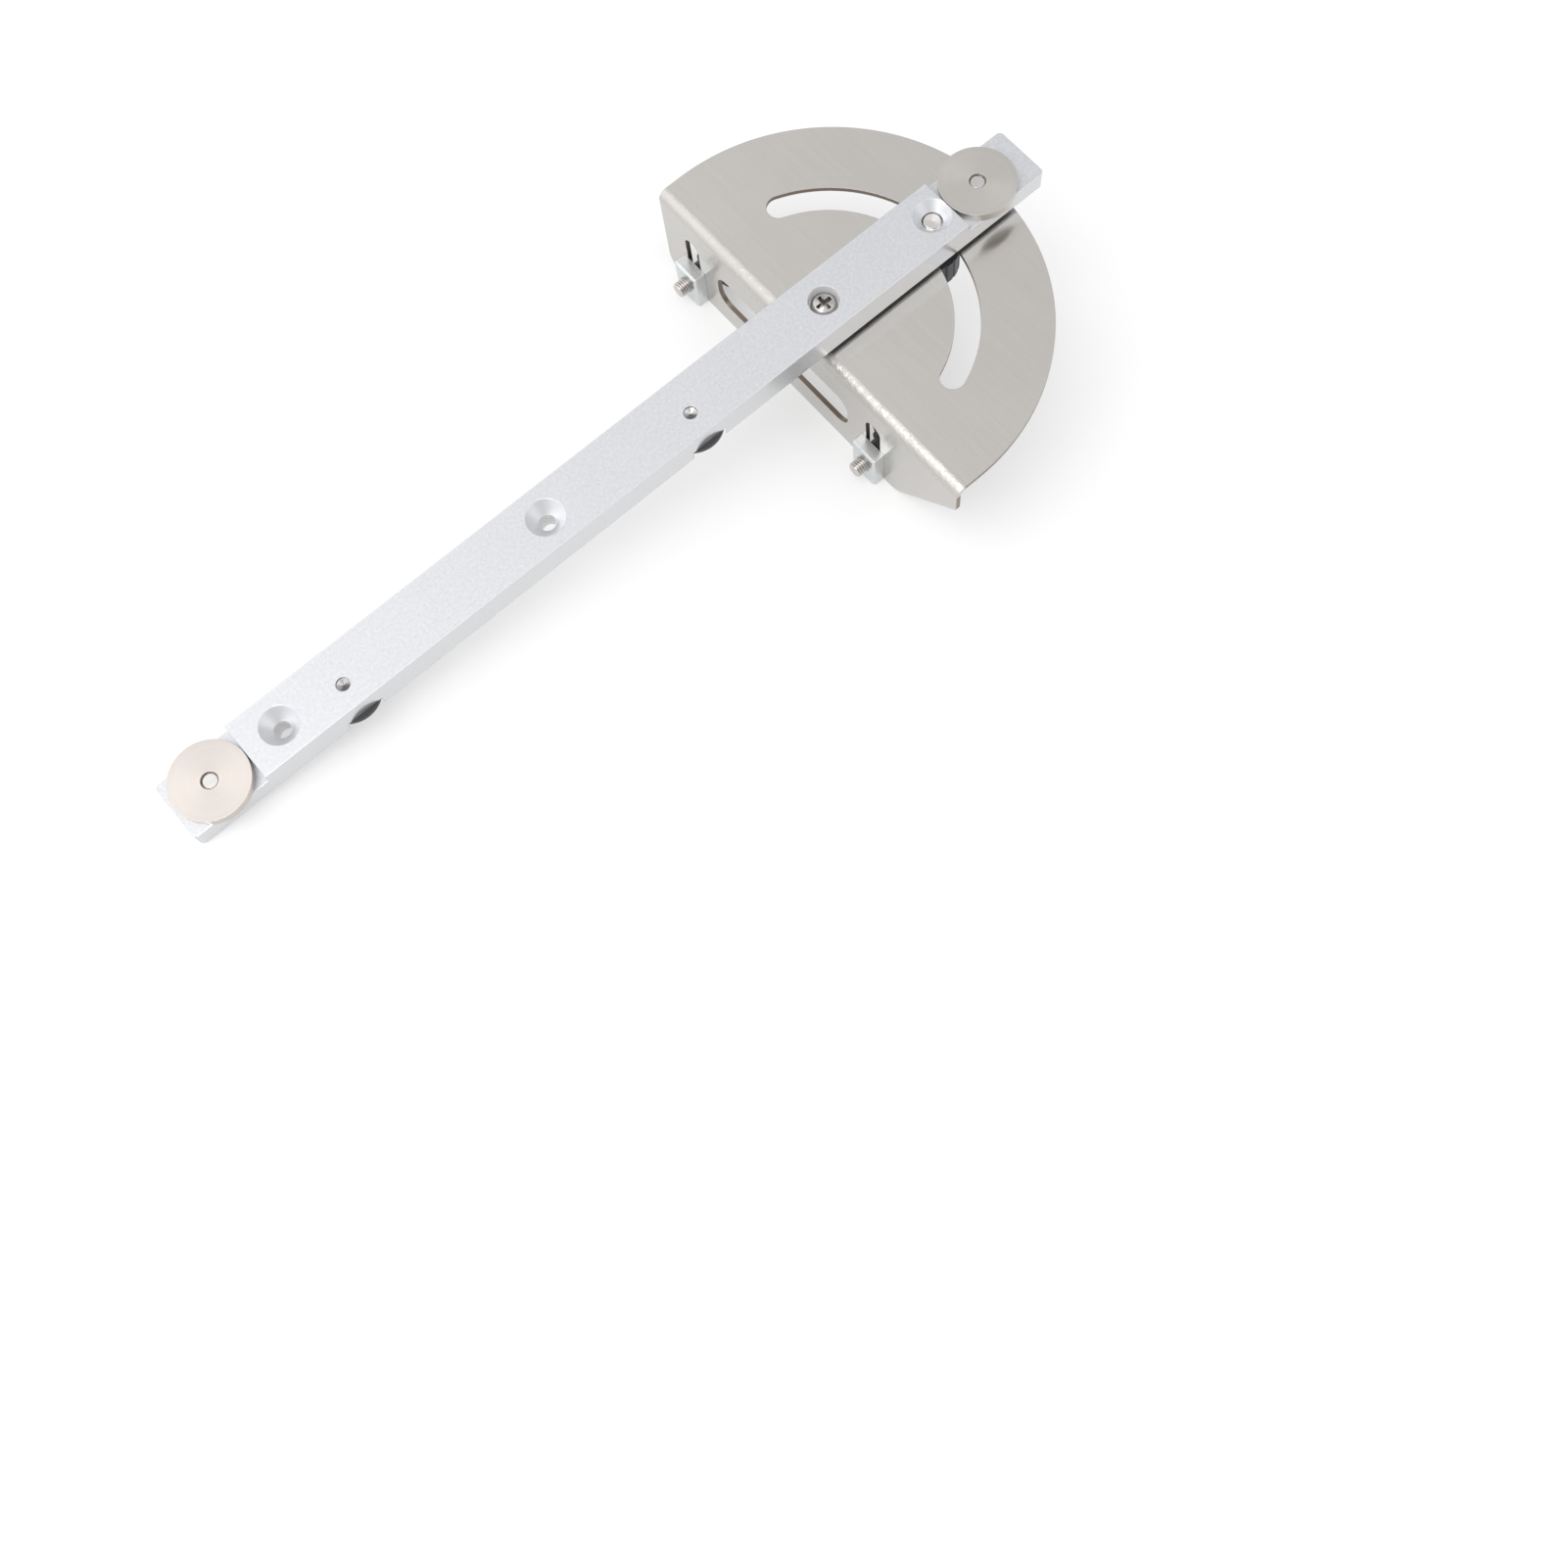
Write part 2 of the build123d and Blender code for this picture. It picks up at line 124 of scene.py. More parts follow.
# The photograph's camera: its place in millimetres and its three directions, in the drawing frame,
# and its focal length in pixels of a picture this wide
CAMERA_PLACE = (-178.4, -231.5, 466.3)
CAMERA_RIGHT = Vector((0.7602, -0.6474, -0.0548))
CAMERA_DOWN = Vector((-0.6307, -0.7149, -0.3019))
CAMERA_AHEAD = Vector((0.1563, 0.2641, -0.9518))
FOCAL_PIXELS = 1917.24
PICTURE_PIXELS = 1601
SENSOR_WIDTH = 36.0
CLIP_START = 0.01

# The drawing frame in the scene: rest is how it lies, and to_scene also takes millimetres to metres
swing_axis = Vector(swing["axis"]).normalized()
tilt = math.atan2(-swing_axis.x, swing_axis.z)
origin = Vector(swing["pos_m"]) - swing_axis * PLATE_FACE * MM
rest = Matrix.Translation(origin) @ Matrix.Rotation(-tilt, 4, "Y")
to_scene = rest @ Matrix.Scale(MM, 4)


def point(x, y, z):
    """A drawing point, in millimetres, as a scene point in metres."""
    return rest @ (Vector((x, y, z)) * MM)


def linear(red, green, blue):
    """A screen colour from 0 to 255 as the linear colour that a shader socket takes."""
    values = []
    for level in (red, green, blue):
        level /= 255
        values.append(level / 12.92 if level <= 0.04045 else ((level + 0.055) / 1.055) ** 2.4)
    return (*values, 1.0)


# Shader building
class Graph:
    """Short calls that add nodes to a shader tree. A value is a number, a vector, a colour or a socket."""

    # Nearly all of a noise texture's values lie between these two
    NOISE_LOW = 0.25
    NOISE_HIGH = 0.75

    def __init__(self, tree):
        self.tree = tree

    def feed(self, socket, value):
        """Links a socket to another one, or sets its value."""
        if isinstance(value, bpy.types.NodeSocket):
            self.tree.links.new(value, socket)
        else:
            socket.default_value = value

    def node(self, kind, inputs=None, **settings):
        """A new node with its settings made and its inputs fed, each by name or by number."""
        made = self.tree.nodes.new(kind)
        for name, value in settings.items():
            setattr(made, name, value)
        for name, value in (inputs or {}).items():
            self.feed(made.inputs[name], value)
        return made

    def math(self, operation, *values):
        return self.node("ShaderNodeMath", dict(enumerate(values)), operation=operation).outputs["Value"]

    def joined(self, operation, *values):
        """All the values joined by one operation."""
        result = values[0]
        for value in values[1:]:
            result = self.math(operation, result, value)
        return result

    def product(self, *values):
        return self.joined("MULTIPLY", *values)

    def total(self, *values):
        return self.joined("ADD", *values)

    def largest(self, *values):
        return self.joined("MAXIMUM", *values)

    def ramp(self, value, start, end, low, high, shape="LINEAR"):
        """The value mapped to run from low at start to high at end, and level beyond them."""
        inputs = {"Value": value, "From Min": start, "From Max": end, "To Min": low, "To Max": high}
        return self.node("ShaderNodeMapRange", inputs, interpolation_type=shape).outputs["Result"]

    def spread(self, noise, low, high):
        """Noise mapped to run from low to high."""
        return self.ramp(noise, self.NOISE_LOW, self.NOISE_HIGH, low, high)

    def band(self, value, start, end):
        """0 up to start and 1 past end, whichever is the higher, with a soft step between."""
        return self.ramp(value, start, end, 0.0, 1.0, "SMOOTHSTEP")

    def mix(self, factor, first, second, blend="MIX"):
        """Two colours blended by a factor. A mix node's colours are its inputs 6 and 7 and its output 2."""
        inputs = {"Factor": factor, 6: first, 7: second}
        return self.node("ShaderNodeMix", inputs, data_type="RGBA", blend_type=blend).outputs[2]

    def shade(self, factor, colour):
        """The colour times a grey factor."""
        grey = self.node("ShaderNodeCombineColor", {"Red": factor, "Green": factor, "Blue": factor})
        return self.mix(1.0, colour, grey.outputs["Color"], "MULTIPLY")

    def vector(self, x, y, z):
        return self.node("ShaderNodeCombineXYZ", {"X": x, "Y": y, "Z": z}).outputs["Vector"]

    def split(self, vector):
        return self.node("ShaderNodeSeparateXYZ", {"Vector": vector}).outputs

    def noise(self, vector, scale, detail=2.0, rough=0.5):
        inputs = {"Vector": vector, "Scale": scale, "Detail": detail, "Roughness": rough}
        return self.node("ShaderNodeTexNoise", inputs).outputs["Fac"]


class Finish(Graph):
    """A material with a principled surface, whose nodes work in the drawing frame of the gauge.

    Its edges catch the light as if they had a small round of `edge` millimetres.
    """

    def __init__(self, name, colour, metallic, roughness, edge):
        self.material = bpy.data.materials.new(name)
        self.material.use_nodes = True
        super().__init__(self.material.node_tree)
        self.tree.nodes.clear()
        self.surface = self.node(
            "ShaderNodeBsdfPrincipled", {"Base Color": colour, "Metallic": metallic, "Roughness": roughness}
        )
        self.node("ShaderNodeOutputMaterial", {"Surface": self.surface.outputs["BSDF"]})
        place = self.node("ShaderNodeTexCoord").outputs["Object"]
        self.drawing = self.tilted(place, "TEXTURE", Location=origin, Scale=(MM, MM, MM))
        self.rounded = self.node("ShaderNodeBevel", {"Radius": edge * MM}, samples=6).outputs["Normal"]

    def set(self, **values):
        """Feeds inputs of the surface, where Base_Color stands for the one called Base Color."""
        for name, value in values.items():
            self.feed(self.surface.inputs[name.replace("_", " ")], value)

    def tilted(self, vector, kind, **inputs):
        """A vector tilted as the gauge lies in the scene, or tilted back where the kind is TEXTURE."""
        inputs = {"Vector": vector, "Rotation": (0.0, -tilt, 0.0), **inputs}
        return self.node("ShaderNodeMapping", inputs, vector_type=kind).outputs["Vector"]

    def carried(self, vector, kind, start, end):
        """A vector or normal carried from the world to the object, or back."""
        settings = {"vector_type": kind, "convert_from": start, "convert_to": end}
        return self.node("ShaderNodeVectorTransform", {"Vector": vector}, **settings).outputs["Vector"]

    def drawing_normal(self):
        """The normal of the flat mesh, in the drawing frame."""
        flat = self.node("ShaderNodeNewGeometry").outputs["True Normal"]
        return self.tilted(self.carried(flat, "NORMAL", "WORLD", "OBJECT"), "TEXTURE")

    def sheen_along(self, direction, amount):
        """Stretches the sheen along a direction of the drawing frame."""
        tangent = self.carried(self.tilted(direction, "VECTOR"), "VECTOR", "OBJECT", "WORLD")
        unit = self.node("ShaderNodeVectorMath", {0: tangent}, operation="NORMALIZE").outputs["Vector"]
        self.set(Anisotropic=amount, Tangent=unit)

    def bump(self, height, strength, distance, before=None):
        """Normal with a relief of `distance` millimetres, on the rounded edges or another normal."""
        normal = self.rounded if before is None else before
        inputs = {"Height": height, "Strength": strength, "Distance": distance * MM, "Normal": normal}
        return self.node("ShaderNodeBump", inputs).outputs["Normal"]

    def openness(self, reach):
        """From 0 in a tight groove to 1 in the open, as far as `reach` millimetres on the same piece."""
        settings = {"samples": 8, "only_local": True}
        return self.node("ShaderNodeAmbientOcclusion", {"Distance": reach * MM}, **settings).outputs["AO"]

    def stretched(self, scale):
        """The drawing point scaled along each axis, so that noise runs in streaks."""
        inputs = {0: self.drawing, 1: scale}
        return self.node("ShaderNodeVectorMath", inputs, operation="MULTIPLY").outputs["Vector"]

    def offset_from(self, x, y):
        """The drawing point seen from the line along Z through x, y."""
        place = self.split(self.drawing)
        return self.math("SUBTRACT", place["X"], x), self.math("SUBTRACT", place["Y"], y)

    def radius_about(self, x, y):
        """Distance from the line along Z through x, y, in millimetres."""
        along, across = self.offset_from(x, y)
        return self.math("SQRT", self.total(self.product(along, along), self.product(across, across)))

    def within(self, x, y, radius, fade=0.1):
        """1 inside a radius about the line along Z through x, y, with a soft step just outside it."""
        return self.band(self.radius_about(x, y), radius + fade, radius)

    def rings(self, radius, scale, detail=4.0, rough=0.7):
        """Noise that depends on a radius alone."""
        return self.noise(self.vector(radius, 0.0, 0.0), scale, detail, rough)

    def thread_grooves(self, x, pitch):
        """Height of a thread of this pitch about the line along Z through x."""
        along, across = self.offset_from(x, 0.0)
        turn = self.math("DIVIDE", self.math("ARCTAN2", across, along), 2 * math.pi)
        turns = self.total(self.math("DIVIDE", self.split(self.drawing)["Z"], pitch), turn)
        return self.math("PINGPONG", turns, 0.5)


# Finishes
def blasted_aluminium():
    """Bead-blasted and anodised bar with drawn sides, bright turned countersinks and tapped bores."""
    blasted_colour = linear(198, 199, 202)
    # The sides are smoother as drawn, and their lighter colour is painted light, standing in for fill on
    # them
    drawn_and_fill_colour = linear(211, 212, 214)
    cone_colour = linear(205, 206, 209)
    bore_colour = linear(240, 240, 241)
    # Colour of the painted shade in the thread grooves of the tapped holes
    groove_shade_colour = linear(150, 148, 146)
    made = Finish("blasted_aluminium", blasted_colour, metallic=0.8, roughness=0.48, edge=0.3)
    grain = made.noise(made.drawing, scale=1.1, detail=4.0, rough=0.75)
    cloud = made.noise(made.drawing, scale=0.05)
    marks = made.noise(made.stretched((0.1, 0.1, 3.0)), scale=1.0)
    tone = made.product(made.spread(grain, 0.86, 1.11), made.spread(cloud, 0.985, 1.01))

    # The holes are cut from the sliding face after blasting, and the sides stay as drawn
    place = made.split(made.drawing)
    counterbore = made.within(0.0, 0.0, COUNTERBORE)
    countersinks = [made.within(x, 0.0, COUNTERSINK) for x in (*TAPPED_HOLES_X, CLAMP_X)]
    screw_holes = [made.within(x, EXPANSION_SCREWS_Y, SCREW_HOLE) for x in EXPANSION_SCREWS_X]
    below_face = made.band(place["Z"], CUT_START, CUT_FULL)
    cut = made.product(made.largest(counterbore, *countersinks, *screw_holes), below_face)
    off_middle = made.math("ABSOLUTE", place["Y"])
    sides = made.band(off_middle, BAR_HALF_WIDTH - BAR_EDGE, BAR_HALF_WIDTH - 0.4 * BAR_EDGE)

    # The tapped holes have a thread, whose grooves get painted shade: a darker colour down in them
    bores = []
    threads = []
    for x in TAPPED_HOLES_X:
        bore = made.within(x, 0.0, TAPPED_BORE, fade=0.06)
        bores.append(bore)
        threads.append(made.product(bore, made.thread_grooves(x, STUD_PITCH)))
    tapped = made.largest(*bores)
    thread_height = made.total(*threads)
    # Painted shade: how far the darker colour covers the thread grooves
    groove_shade = made.product(tapped, made.band(thread_height, 0.22, 0.05), 0.4)

    bright = made.largest(counterbore, tapped)
    # Painted light: the drawn sides take the lighter colour, in place of fill light on them
    skin = made.mix(sides, made.shade(tone, blasted_colour), drawn_and_fill_colour)
    shine = made.shade(made.spread(marks, 0.95, 1.03), made.mix(bright, cone_colour, bore_colour))
    less_rough = made.largest(made.product(sides, 0.26), made.product(cut, 0.13))
    blast_relief = made.math("SUBTRACT", 0.55, made.product(made.largest(cut, sides), 0.52))
    grained = made.bump(grain, blast_relief, distance=0.08)
    made.set(
        Base_Color=made.mix(groove_shade, made.mix(cut, skin, shine), groove_shade_colour),
        Metallic=made.math("SUBTRACT", 0.8, made.product(bright, 0.4)),
        Roughness=made.math("SUBTRACT", made.spread(grain, 0.44, 0.54), less_rough),
        Normal=made.bump(thread_height, made.product(tapped, 0.9), distance=0.45, before=grained),
    )
    return made.material


def brushed_sheet():
    """Stainless sheet brushed along the fold, dull cut edges in painted shade, and faint rub marks about
    the pivot.
    """
    face_colour = linear(200, 197, 193)
    # Colour of the painted shade on the sheet's cut edges
    edge_shade_colour = linear(142, 130, 118)
    made = Finish("brushed_sheet", face_colour, metallic=1.0, roughness=0.24, edge=0.12)
    streak = made.noise(made.stretched((6.0, 0.05, 6.0)), scale=1.6, detail=4.0, rough=0.7)
    broad = made.noise(made.stretched((0.6, 0.02, 0.6)), scale=1.0, detail=3.0, rough=0.6)
    cloud = made.noise(made.drawing, scale=0.035)
    rub = made.rings(made.radius_about(0.0, 0.0), scale=1.3, detail=3.0, rough=0.8)
    pressed = made.noise(made.stretched((1.0, 0.5, 1.0)), scale=0.7, detail=3.0, rough=0.6)
    tone = made.product(
        made.spread(streak, 0.97, 1.02),
        made.spread(broad, 0.98, 1.015),
        made.spread(cloud, 0.975, 1.02),
        made.spread(rub, 0.985, 1.01),
    )

    # On a cut edge the normal has left the direction that the plate or the flange faces
    facing = 0.75
    turned_away = 0.55
    place = made.split(made.drawing)
    normal = made.split(made.drawing_normal())
    on_plate = made.band(place["X"], BEND_END_X - 0.1, BEND_END_X + 0.3)
    on_flange = made.band(place["Z"], BEND_END_Z - 0.1, BEND_END_Z - 0.5)
    plate_edge = made.band(made.math("ABSOLUTE", normal["Z"]), facing, turned_away)
    flange_edge = made.band(made.math("ABSOLUTE", normal["X"]), facing, turned_away)
    # Cut edges are rougher, and their dark brown colour is painted shade
    edge = made.largest(made.product(on_plate, plate_edge), made.product(on_flange, flange_edge))
    on_bend = made.math("SUBTRACT", 1.0, made.largest(on_plate, on_flange))

    more_rough = made.total(made.product(edge, 0.22), made.product(on_bend, 0.09))
    brushed = made.bump(streak, strength=0.10, distance=0.02)
    made.set(
        Base_Color=made.mix(edge, made.shade(tone, face_colour), edge_shade_colour),
        Roughness=made.total(made.spread(streak, 0.17, 0.25), more_rough),
        Normal=made.bump(pressed, made.product(on_bend, 0.8), distance=0.28, before=brushed),
    )
    made.sheen_along((1.0, 0.0, 0.0), 0.75)
    return made.material


def turned_steel(name, x, colour, stretch):
    """Disc faced on a lathe: rings about its centre, and a sheen that runs along them."""
    made = Finish(name, colour, metallic=1.0, roughness=0.32, edge=0.15)
    radius = made.radius_about(x, 0.0)
    fine = made.rings(radius, scale=7.0)
    broad = made.rings(radius, scale=0.6, detail=2.0, rough=0.5)
    tone = made.product(made.spread(fine, 0.95, 1.04), made.spread(broad, 0.97, 1.02))
    made.set(
        Base_Color=made.shade(tone, colour),
        Roughness=made.spread(fine, 0.26, 0.36),
        Normal=made.bump(fine, strength=0.10, distance=0.02),
    )
    along, across = made.offset_from(x, 0.0)
    made.sheen_along(made.vector(made.product(across, -1.0), along, 0.0), stretch)
    return made.material


def plain_metal(
    name, colour, roughness, grain=2.0, mottle=0.06, edge=0.12, dished=(), slope=0.0, groove_shade=0.0
):
    """Machined or plated steel of a small part, with uneven tone and fine tool marks.

    Its faces dish, with this slope, towards each dished point x, y of the drawing. Grooves about as wide
    as the groove setting, in millimetres, get painted shade: a darker colour than the ridges between them.
    """
    made = Finish(name, colour, metallic=1.0, roughness=roughness, edge=edge)
    fine = made.noise(made.drawing, grain, detail=3.0, rough=0.6)
    patch = made.noise(made.drawing, scale=0.35)
    tone = made.product(made.spread(fine, 1.0 - mottle, 1.0 + mottle / 2), made.spread(patch, 0.96, 1.02))
    # Painted shade: the colour is darker where the surface is closed in, down in grooves and recesses
    if groove_shade:
        ridge = made.band(made.openness(groove_shade), 0.45, 0.95)
        tone = made.product(tone, made.total(0.45, made.product(ridge, 0.6)))
    normal = None
    if dished:
        radius = made.joined("MINIMUM", *(made.radius_about(x, y) for x, y in dished))
        normal = made.bump(radius, strength=1.0, distance=slope)
    made.set(
        Base_Color=made.shade(tone, colour),
        Roughness=made.spread(fine, roughness - 0.05, roughness + 0.06),
        Normal=made.bump(fine, strength=0.12, distance=0.03, before=normal),
    )
    return made.material


def moulded_plastic(name, colour, roughness):
    """Black moulded plastic with a fine even grain."""
    made = Finish(name, colour, metallic=0.0, roughness=roughness, edge=0.25)
    grain = made.noise(made.drawing, scale=5.0)
    cloud = made.noise(made.drawing, scale=0.3)
    made.set(
        Base_Color=made.shade(made.spread(cloud, 0.85, 1.15), colour),
        Roughness=made.spread(grain, roughness - 0.06, roughness + 0.08),
        Normal=made.bump(grain, strength=0.15, distance=0.03),
    )
    return made.material


def etched_ink():
    """Dark filling of the etched marks, slightly worn."""
    colour = linear(30, 30, 32)
    made = Finish("etched_ink", colour, metallic=0.0, roughness=0.6, edge=0.02)
    worn = made.noise(made.drawing, scale=2.0, detail=3.0, rough=0.7)
    made.set(
        Base_Color=made.shade(made.spread(worn, 0.8, 1.7), colour),
        Roughness=made.spread(worn, 0.5, 0.7),
        Normal=made.bump(worn, strength=0.1, distance=0.01),
    )
    return made.material


finishes = {
    "bar": blasted_aluminium(),
    "sheet": brushed_sheet(),
    "front_disc": turned_steel("turned_front_disc", FRONT_DISC_X, linear(198, 191, 186), stretch=0.25),
    "rear_disc": turned_steel("turned_rear_disc", REAR_DISC_X, linear(198, 194, 190), stretch=0.6),
    "screw": plain_metal("bright_screw", linear(206, 204, 202), roughness=0.24),
    "cupped_screw": plain_metal(
        "cupped_screw", linear(188, 186, 184), roughness=0.26,
        dished=[(x, EXPANSION_SCREWS_Y) for x in EXPANSION_SCREWS_X], slope=0.7,
    ),
    "domed_screw": plain_metal(
        "domed_screw", linear(186, 183, 181), roughness=0.2, grain=2.5, mottle=0.2,
        dished=[(0.0, 0.0)], slope=-0.3, groove_shade=0.5,
    ),
    "stud": plain_metal(
        "bright_stud", linear(216, 213, 210), roughness=0.26, edge=0.15,
        dished=[(CLAMP_X, 0.0)], slope=0.18, groove_shade=0.6,
    ),
    "bolt": plain_metal("plain_bolt", linear(203, 197, 193), roughness=0.3, edge=0.05, groove_shade=0.6),
    "zinc": plain_metal(
        "zinc_plate", linear(217, 220, 221), roughness=0.33, grain=1.2, mottle=0.08, edge=0.25
    ),
    "knob": moulded_plastic("black_knob", linear(52, 53, 57), roughness=0.42),
    "nylon": moulded_plastic("black_nylon", linear(48, 48, 50), roughness=0.5),
    "ink": etched_ink(),
}

DRESS = {
    "bar": ["miter_bar"],
    "sheet": ["protractor_head"],
    "front_disc": ["front_t_disc"],
    "rear_disc": ["rear_t_disc"],
    "screw": ["front_disc_screw", "rear_disc_screw"],
    "cupped_screw": ["front_expansion_screw", "middle_expansion_screw"],
    "domed_screw": ["pivot_screw"],
    "nylon": ["front_expansion_disc", "middle_expansion_disc"],
    "zinc": [
        "pivot_spacer_washer", "pivot_washer", "pivot_lock_nut", "clamp_washer",
        "left_fence_nut", "right_fence_nut",
    ],
    "knob": ["clamp_knob", "left_fence_knob", "right_fence_knob"],
    "stud": ["clamp_stud"],
    "bolt": ["left_fence_bolt", "right_fence_bolt"],
}
for finish, names in DRESS.items():
    for name in names:
        for slot in nodes[name].material_slots:
            slot.material = finishes[finish]


# Meshes and measures
def add_mesh(name, mesh, place):
    """A bmesh placed by a matrix, as an object of the scene."""
    data = bpy.data.meshes.new(name)
    mesh.to_mesh(data)
    mesh.free()
    data.transform(place)
    obj = bpy.data.objects.new(name, data)
    bpy.context.scene.collection.objects.link(obj)
    return obj


def extent(node):
    """Lowest and highest corner of a CAD node along the drawing axes, in millimetres."""
    corners = [rest.inverted() @ vertex.co / MM for vertex in nodes[node].data.vertices]
    low = [min(corner[axis] for corner in corners) for axis in range(3)]
    high = [max(corner[axis] for corner in corners) for axis in range(3)]
    return Vector(low), Vector(high)


# Threads of the clamp stud and of the two fence bolts
def thread(name, tip, direction, radius, pitch, length):
    """Threaded rod as one closed mesh, from its tip along a direction, with a chamfered tip.

    The ridge rises from 0 in the groove to 1 on the crest, and both are flat over THREAD_FLAT.
    """
    depth = THREAD_DEPTH_IN_PITCHES * pitch
    rows = round(length / pitch * THREAD_ROWS_A_TURN)
    mesh = bmesh.new()
    rings = []
    for row in range(rows + 1):
        along = length * row / rows
        ring = []
        for column in range(THREAD_COLUMNS):
            angle = 2 * math.pi * column / THREAD_COLUMNS
            phase = (along / pitch - column / THREAD_COLUMNS) % 1.0
            rise = abs(2 * phase - 1) * (1 + 2 * THREAD_FLAT) - THREAD_FLAT
            ridge = max(0.0, min(1.0, rise))
            reach = min(radius - depth * (1 - ridge), radius - depth + along * THREAD_TIP_SLOPE)
            ring.append(mesh.verts.new((reach * math.cos(angle), reach * math.sin(angle), along)))
        rings.append(ring)
    for low, high in zip(rings, rings[1:]):
        for column in range(THREAD_COLUMNS):
            following = (column + 1) % THREAD_COLUMNS
            mesh.faces.new((low[column], low[following], high[following], high[column])).smooth = True
    mesh.faces.new(list(reversed(rings[0])))
    mesh.faces.new(rings[-1])
    turn = Vector(direction).to_track_quat("Z", "Y").to_matrix().to_4x4()
    return add_mesh(name, mesh, to_scene @ Matrix.Translation(tip) @ turn)


low, high = extent("clamp_stud")
tip = (CLAMP_X, 0.0, high.z)
radius = (high.x - low.x) / 2
stud = thread("clamp_stud_thread", tip, (0, 0, -1), radius, STUD_PITCH, high.z - low.z)
stud.data.materials.append(finishes["stud"])
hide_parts("clamp_stud")
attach(stud, "clamp")
for side in SIDES:
    low, high = extent(f"{side}_fence_bolt")
    centre = (low + high) / 2
    tip = (low.x, centre.y, centre.z)
    radius = (high.y - low.y) / 2
    bolt = thread(f"{side}_fence_bolt_thread", tip, (1, 0, 0), radius, BOLT_PITCH, high.x - low.x)
    bolt.data.materials.append(finishes["bolt"])
    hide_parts(f"{side}_fence_bolt")
    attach(bolt, f"{side}_fence_grip")


# Degree scale on the face of the head that is up in use, and the index line that it is read by
def engraved_line(mesh, start, end, width, level):
    """Thin bar from start to end below a face at `level`, in the drawing frame."""
    start = Vector((*start, 0.0))
    end = Vector((*end, 0.0))
    along = (end - start).normalized()
    across = Vector((-along.y, along.x, 0.0)) * width / 2
    around = (start - across, end - across, end + across, start + across)
    layers = []
    for depth in (0.0, -INK_DEPTH):
        drop = Vector((0.0, 0.0, level + depth))
        layers.append([mesh.verts.new(corner + drop) for corner in around])
    top, low = layers
    mesh.faces.new(top)
    mesh.faces.new(list(reversed(low)))
    for index in range(len(around)):
        following = (index + 1) % len(around)
        mesh.faces.new((top[index], low[index], low[following], top[following]))


def engraved_number(mesh, text, degree):
    """A number of the scale, read from the rear end of the bar."""
    curve = bpy.data.curves.new("number", "FONT")
    curve.body = text
    curve.size = NUMBER_HEIGHT
    curve.align_x = "CENTER"
    curve.align_y = "CENTER"
    curve.extrude = INK_DEPTH / 2
    curve.resolution_u = NUMBER_SMOOTHNESS
    holder = bpy.data.objects.new("number", curve)
    bpy.context.scene.collection.objects.link(holder)
    bpy.context.view_layer.update()
    shape = bpy.data.meshes.new_from_object(holder.evaluated_get(bpy.context.evaluated_depsgraph_get()))
    angle = math.radians(degree)
    outward = Vector((math.cos(angle), math.sin(angle), 0.0))
    side = Vector((math.sin(angle), -math.cos(angle), 0.0))
    turn = Matrix((side, -outward, Vector((0.0, 0.0, -1.0)))).transposed().to_4x4()
    place = Matrix.Translation(outward * NUMBER_RADIUS + Vector((0.0, 0.0, PLATE_BACK - INK_DEPTH / 2)))
    shape.transform(place @ turn)
    mesh.from_mesh(shape)
    bpy.data.objects.remove(holder)


def degree_scale():
    """A tick at each degree and a number at each ten, on the back of the plate."""
    marks = bmesh.new()
    for degree in range(-SCALE_DEGREES, SCALE_DEGREES + 1):
        length = next(length for step, length in TICK_LENGTHS.items() if degree % step == 0)
        angle = math.radians(degree)
        outward = Vector((math.cos(angle), math.sin(angle)))
        inner = outward * (SCALE_OUTER - length)
        engraved_line(marks, inner, outward * SCALE_OUTER, TICK_WIDTH, PLATE_BACK)
        if degree % NUMBER_STEP == 0:
            engraved_number(marks, str(abs(degree)), degree)
    return add_mesh("degree_scale", marks, to_scene)


def index_line():
    """A line on the back of the bar, beyond the edge of the plate."""
    mark = bmesh.new()
    engraved_line(mark, (INDEX_START, 0.0), (INDEX_END, 0.0), INDEX_WIDTH, BAR_BACK)
    return add_mesh("index_line", mark, to_scene)


scale = degree_scale()
scale.data.materials.append(finishes["ink"])
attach(scale, "head")

index = index_line()
index.data.materials.append(finishes["ink"])
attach(index, "bar")


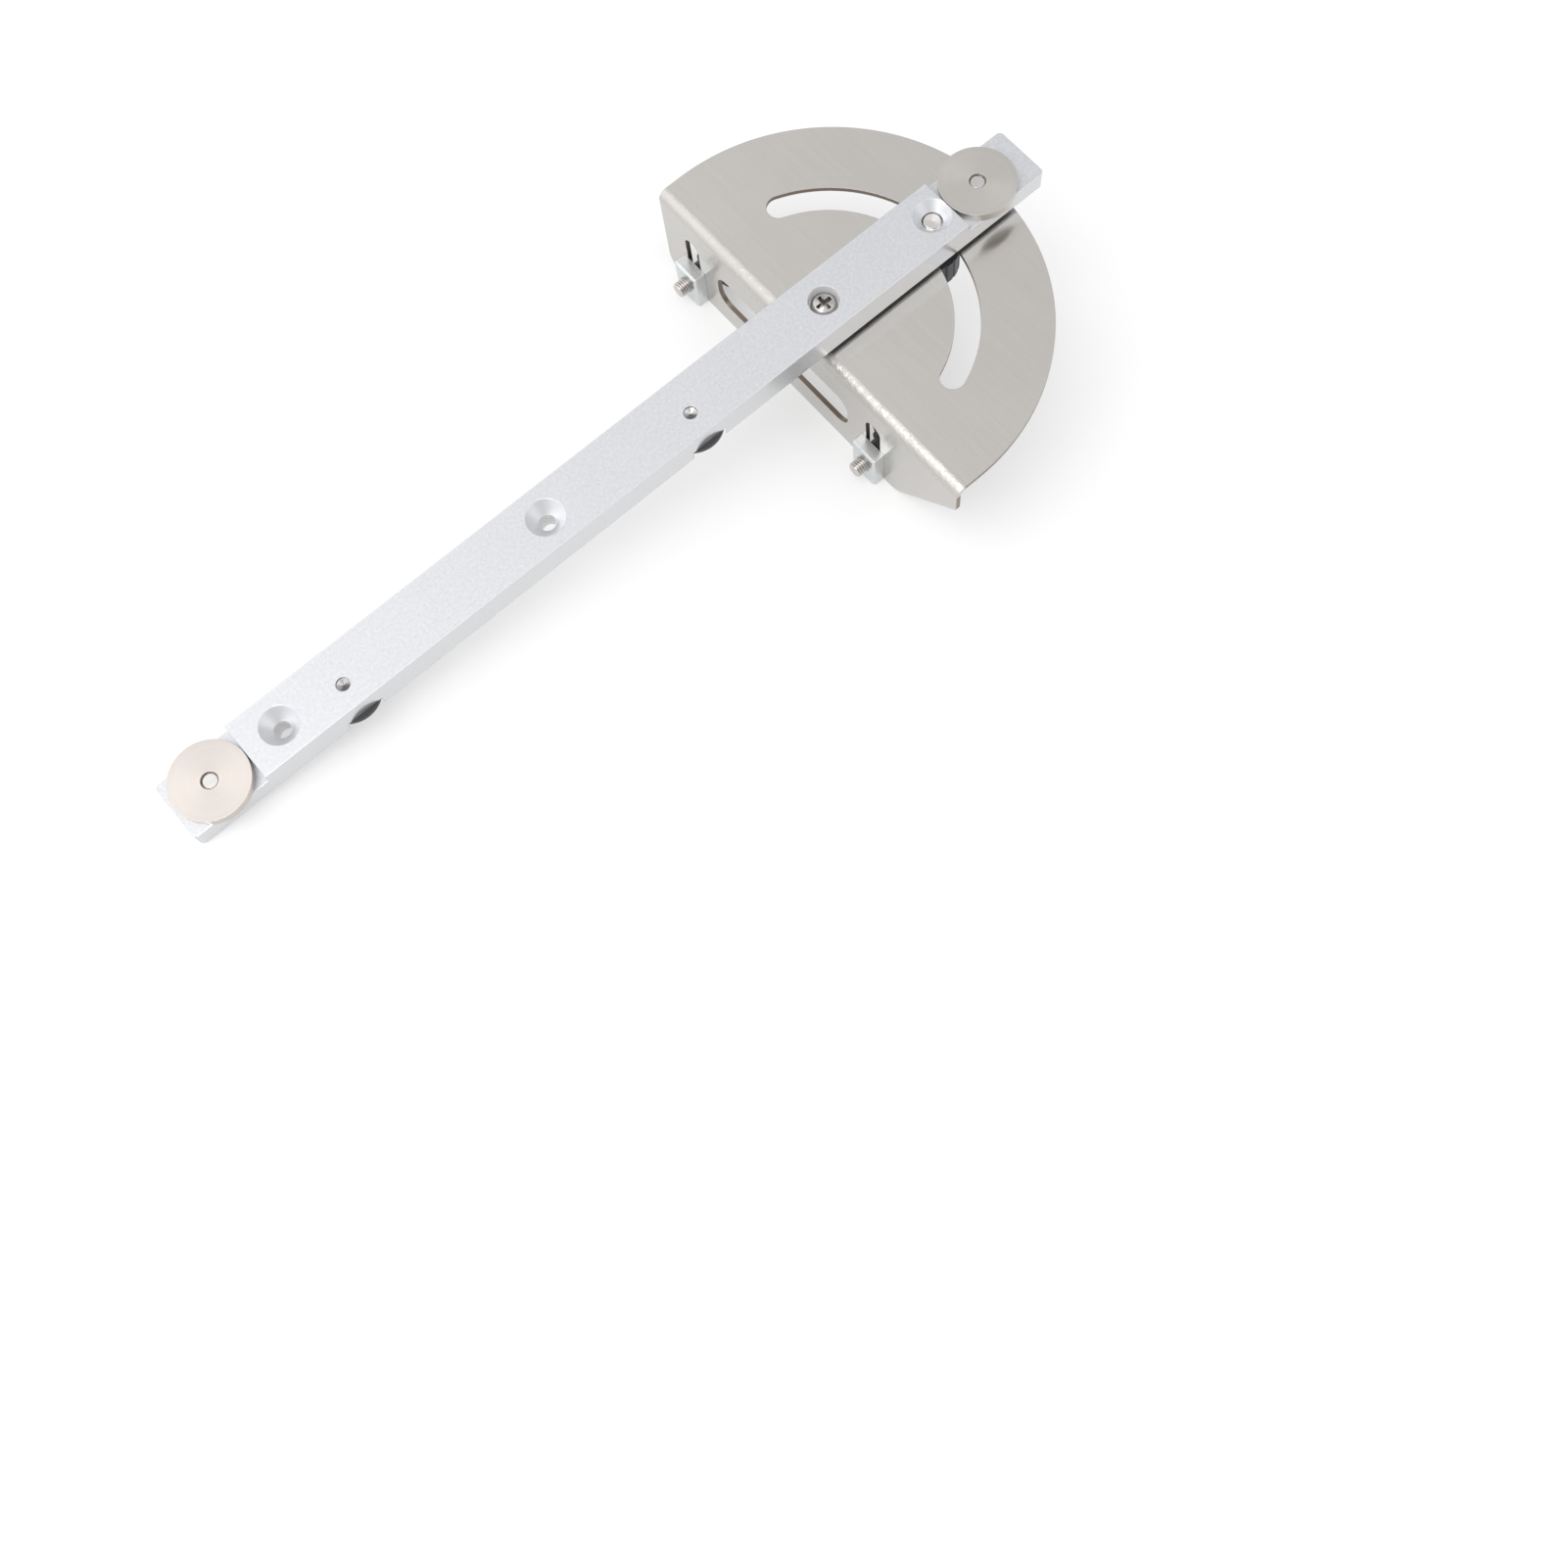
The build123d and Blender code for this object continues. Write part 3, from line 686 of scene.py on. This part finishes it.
# Studio
def white_floor():
    """Pale floor that shows white to the camera and in the metal, and keeps about half of each shadow."""
    bpy.ops.mesh.primitive_plane_add(size=FLOOR_SIZE, location=(0, 0, 0))
    floor = bpy.context.object
    floor.name = "floor"
    paint = bpy.data.materials.new("floor_paint")
    paint.use_nodes = True
    graph = Graph(paint.node_tree)
    surface = graph.tree.nodes["Principled BSDF"]
    surface.inputs["Base Color"].default_value = FLOOR_PAINT
    surface.inputs["Roughness"].default_value = 0.9
    surface.inputs["Specular IOR Level"].default_value = 0.1
    ray = graph.node("ShaderNodeLightPath").outputs
    seen = graph.largest(ray["Is Camera Ray"], ray["Is Glossy Ray"], ray["Is Transmission Ray"])
    white = graph.node("ShaderNodeEmission").outputs["Emission"]
    share = graph.product(seen, FLOOR_GLOW)
    mix = graph.node("ShaderNodeMixShader", {"Fac": share, 1: surface.outputs["BSDF"], 2: white})
    graph.feed(graph.tree.nodes["Material Output"].inputs["Surface"], mix.outputs["Shader"])
    floor.data.materials.append(paint)


def soft_sky():
    """White surroundings, with a broad glow beyond the bar's front end and a fill high on its -Y side."""
    world = bpy.data.worlds.new("studio")
    bpy.context.scene.world = world
    world.use_nodes = True
    graph = Graph(world.node_tree)
    ray = graph.node("ShaderNodeTexCoord").outputs["Generated"]
    level = SKY_LEVEL
    for direction, start, end, gain in GLOWS:
        cosine = graph.node("ShaderNodeVectorMath", {0: ray, 1: direction}, operation="DOT_PRODUCT")
        level = graph.total(graph.ramp(cosine.outputs["Value"], start, end, 0.0, gain), level)
    background = graph.tree.nodes["Background"]
    background.inputs["Color"].default_value = SKY_COLOUR
    graph.feed(background.inputs["Strength"], level)


def key_light():
    """Large soft lamp, high beyond the front end of the bar."""
    soft = bpy.data.lights.new("soft_key", "AREA")
    soft.shape = "DISK"
    soft.size = KEY_SIZE
    soft.energy = KEY_POWER
    key = bpy.data.objects.new("soft_key", soft)
    turn = (KEY_TARGET - KEY_PLACE).to_track_quat("-Z", "Y")
    key.matrix_world = Matrix.Translation(KEY_PLACE) @ turn.to_matrix().to_4x4()
    bpy.context.scene.collection.objects.link(key)


def photograph_camera():
    """The photograph's own view."""
    data = bpy.data.cameras.new("photograph")
    data.sensor_width = SENSOR_WIDTH
    data.lens = SENSOR_WIDTH * (FOCAL_PIXELS / PICTURE_PIXELS)
    data.clip_start = CLIP_START
    turn = Matrix((CAMERA_RIGHT, -CAMERA_DOWN, -CAMERA_AHEAD)).transposed().to_4x4()
    camera = bpy.data.objects.new("photograph", data)
    camera.matrix_world = Matrix.Translation(point(*CAMERA_PLACE)) @ rest.to_3x3().to_4x4() @ turn
    bpy.context.scene.collection.objects.link(camera)
    bpy.context.scene.camera = camera


white_floor()
soft_sky()
key_light()
photograph_camera()
bpy.context.scene.view_settings.view_transform = "Standard"
